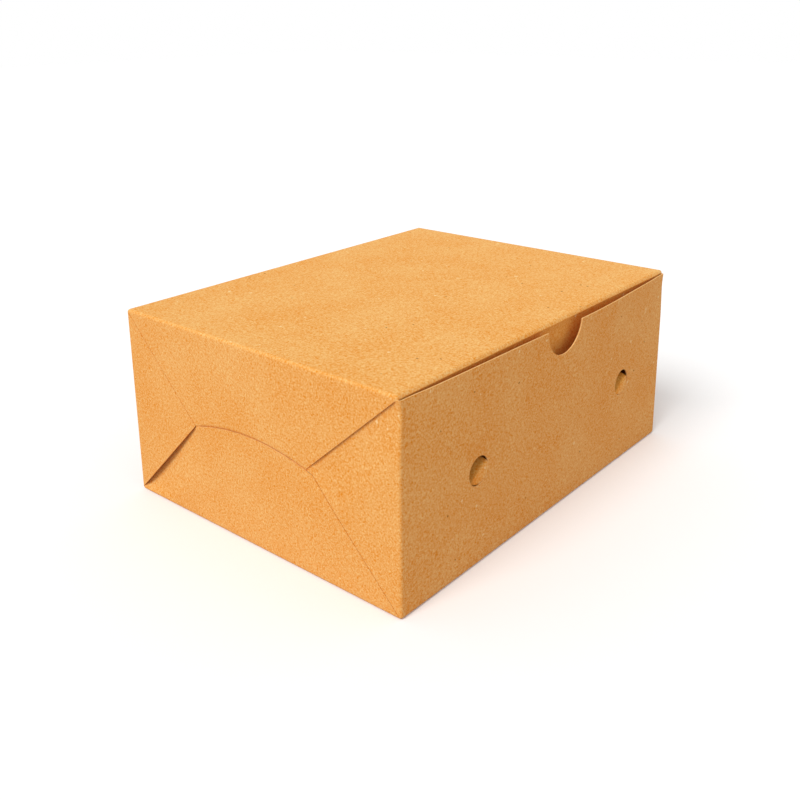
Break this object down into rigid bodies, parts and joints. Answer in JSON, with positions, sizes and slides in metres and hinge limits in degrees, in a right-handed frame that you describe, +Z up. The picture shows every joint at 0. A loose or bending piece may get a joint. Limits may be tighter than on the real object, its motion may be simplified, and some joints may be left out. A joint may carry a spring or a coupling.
{
  "type": "kraft snack box",
  "caption": "Folding kraft board snack box with a hinged tuck-in lid, diagonal lapped ends, a thumb notch and push-in vents, for takeaway food.",
  "frame": {"origin": "middle of the bottom, on the surface that the box stands on", "axes": "+X along the length, +Y from the front wall to the back wall, +Z up"},
  "size_m": [0.18, 0.138, 0.077],
  "materials": {
    "kraft_board": "matte"
  },
  "bodies": {
    "tray": {"base_tray": "kraft_board"},
    "lid": {"lid": "kraft_board"}
  },
  "joints": [
    {"name": "lid_hinge", "type": "hinge", "parent": "tray", "child": "lid", "pos_m": [0, 0.069, 0], "axis": [-1, 0, 0], "range_deg": [0, 90]}
  ]
}
